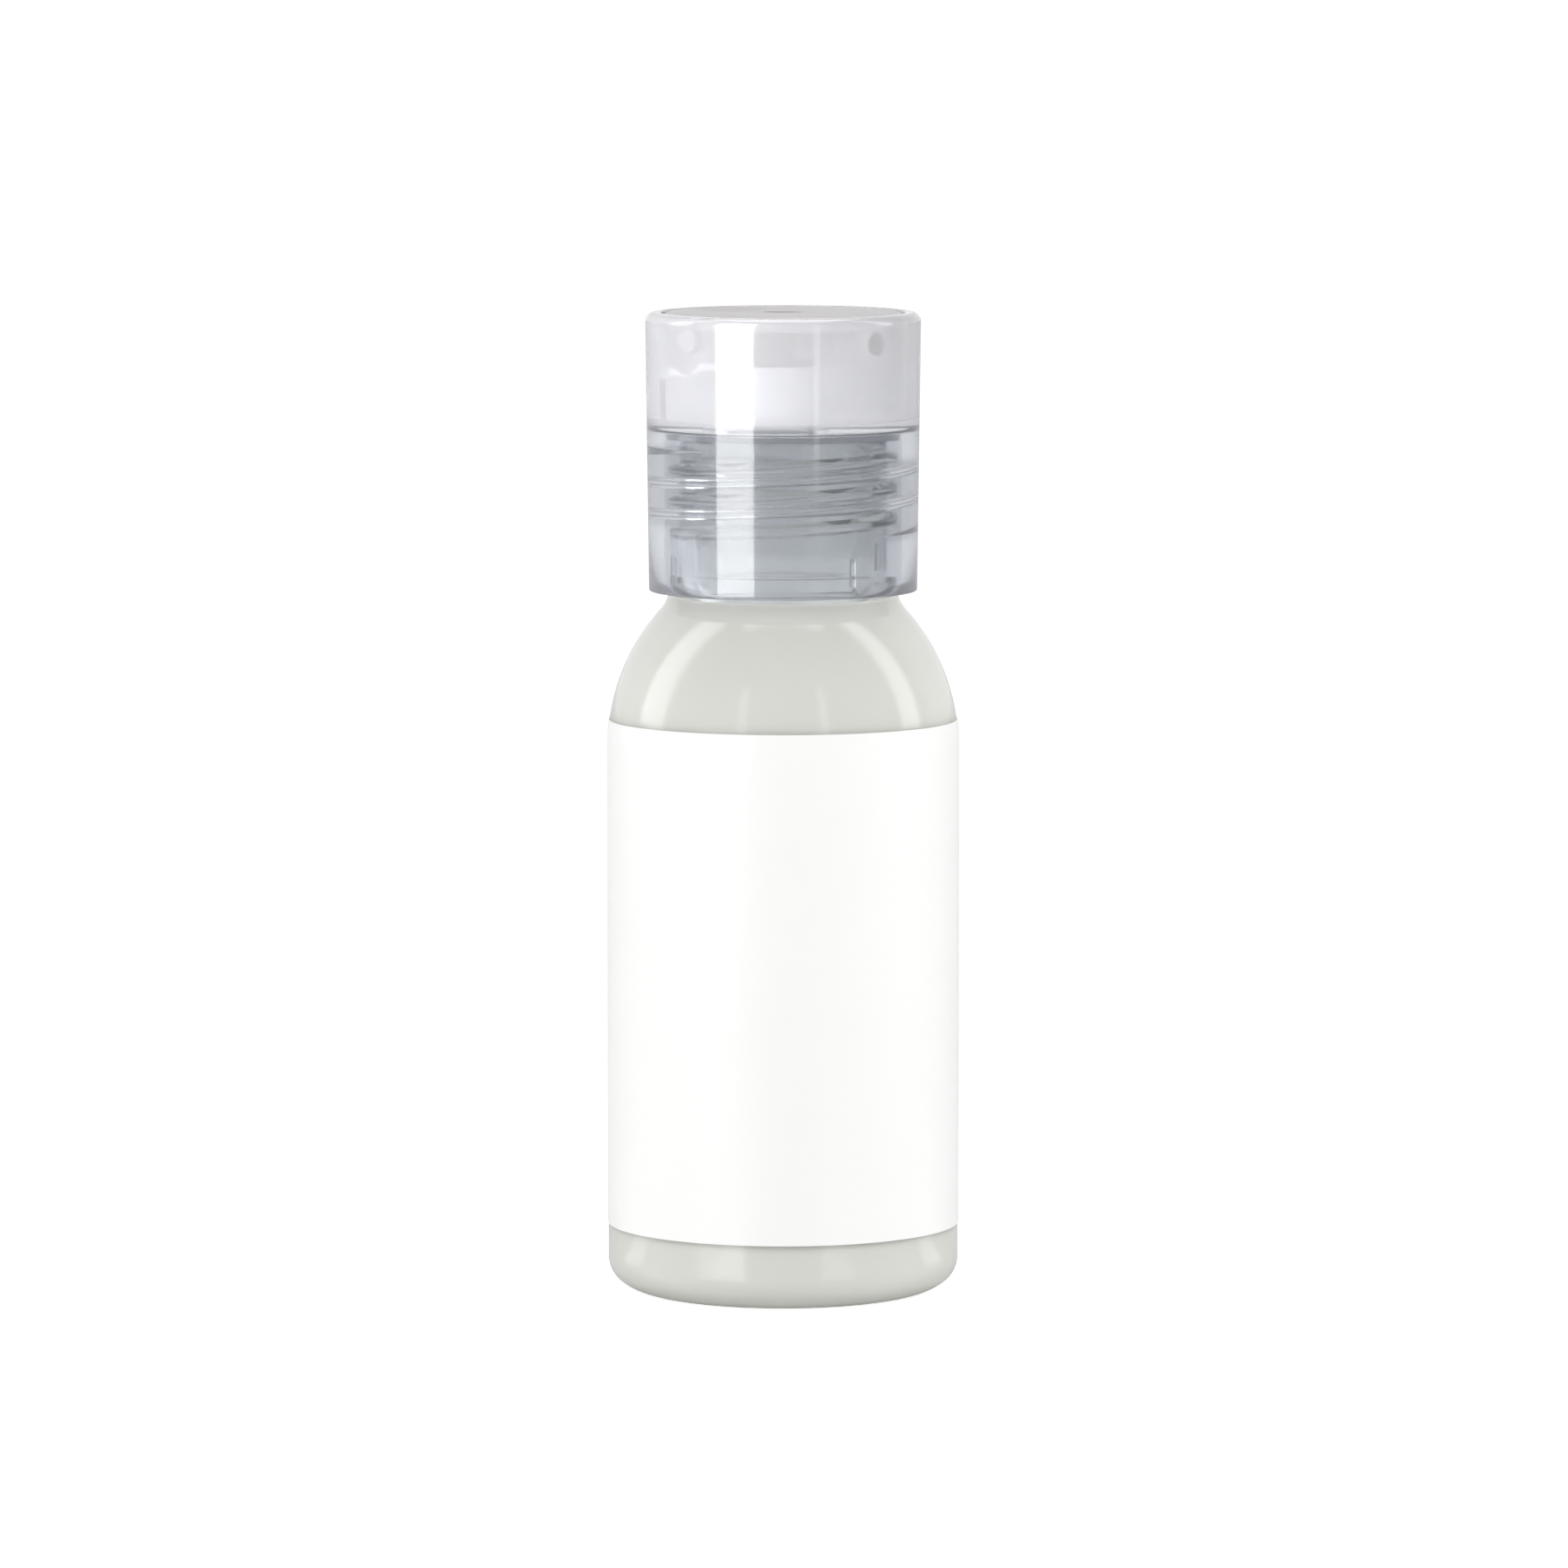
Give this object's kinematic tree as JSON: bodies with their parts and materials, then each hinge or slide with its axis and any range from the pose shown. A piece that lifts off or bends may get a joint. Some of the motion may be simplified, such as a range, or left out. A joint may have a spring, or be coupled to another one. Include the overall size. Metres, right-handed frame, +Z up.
{
  "type": "lotion bottle",
  "caption": "Small round-shouldered clear bottle of pale lotion with a blank white wrap-round label and a translucent press-top screw cap.",
  "frame": {"origin": "centre of the flat ring that the bottle stands on", "axes": "+Z up along the bottle's axis, -Y to the front; the label's seam is at the back (+Y) and the spout points to the front right"},
  "size_m": [0.0362, 0.0362, 0.1007],
  "materials": {
    "clear_bottle": "gloss",
    "lotion": "satin",
    "label_film": "satin",
    "gasket": "matte",
    "cap_plastic": "gloss",
    "disc_plastic": "gloss"
  },
  "bodies": {
    "bottle": {"bottle": "clear_bottle", "lotion": "lotion", "label": "label_film"},
    "gasket": {"gasket": "gasket"},
    "cap": {"cap_body": "cap_plastic"},
    "disc": {"cap_disc": "disc_plastic"}
  },
  "joints": [
    {"name": "cap_lift", "type": "slide", "parent": "bottle", "child": "gasket", "axis": [0, 0, 1], "range_m": [0, 0.00714]},
    {"name": "cap_turn", "type": "hinge", "parent": "gasket", "child": "cap", "pos_m": [0, 0, 0.088], "axis": [0, 0, 1], "range_deg": [0, 810]},
    {"name": "disc_tilt", "type": "hinge", "parent": "cap", "child": "disc", "pos_m": [-0.00115, 0.00096, 0.09823], "axis": [-0.6428, -0.766, 0], "range_deg": [0, 25]}
  ],
  "couplings": [
    {"joint": "cap_lift", "follows": "cap_turn", "m_per_rad": 0.00050532}
  ]
}
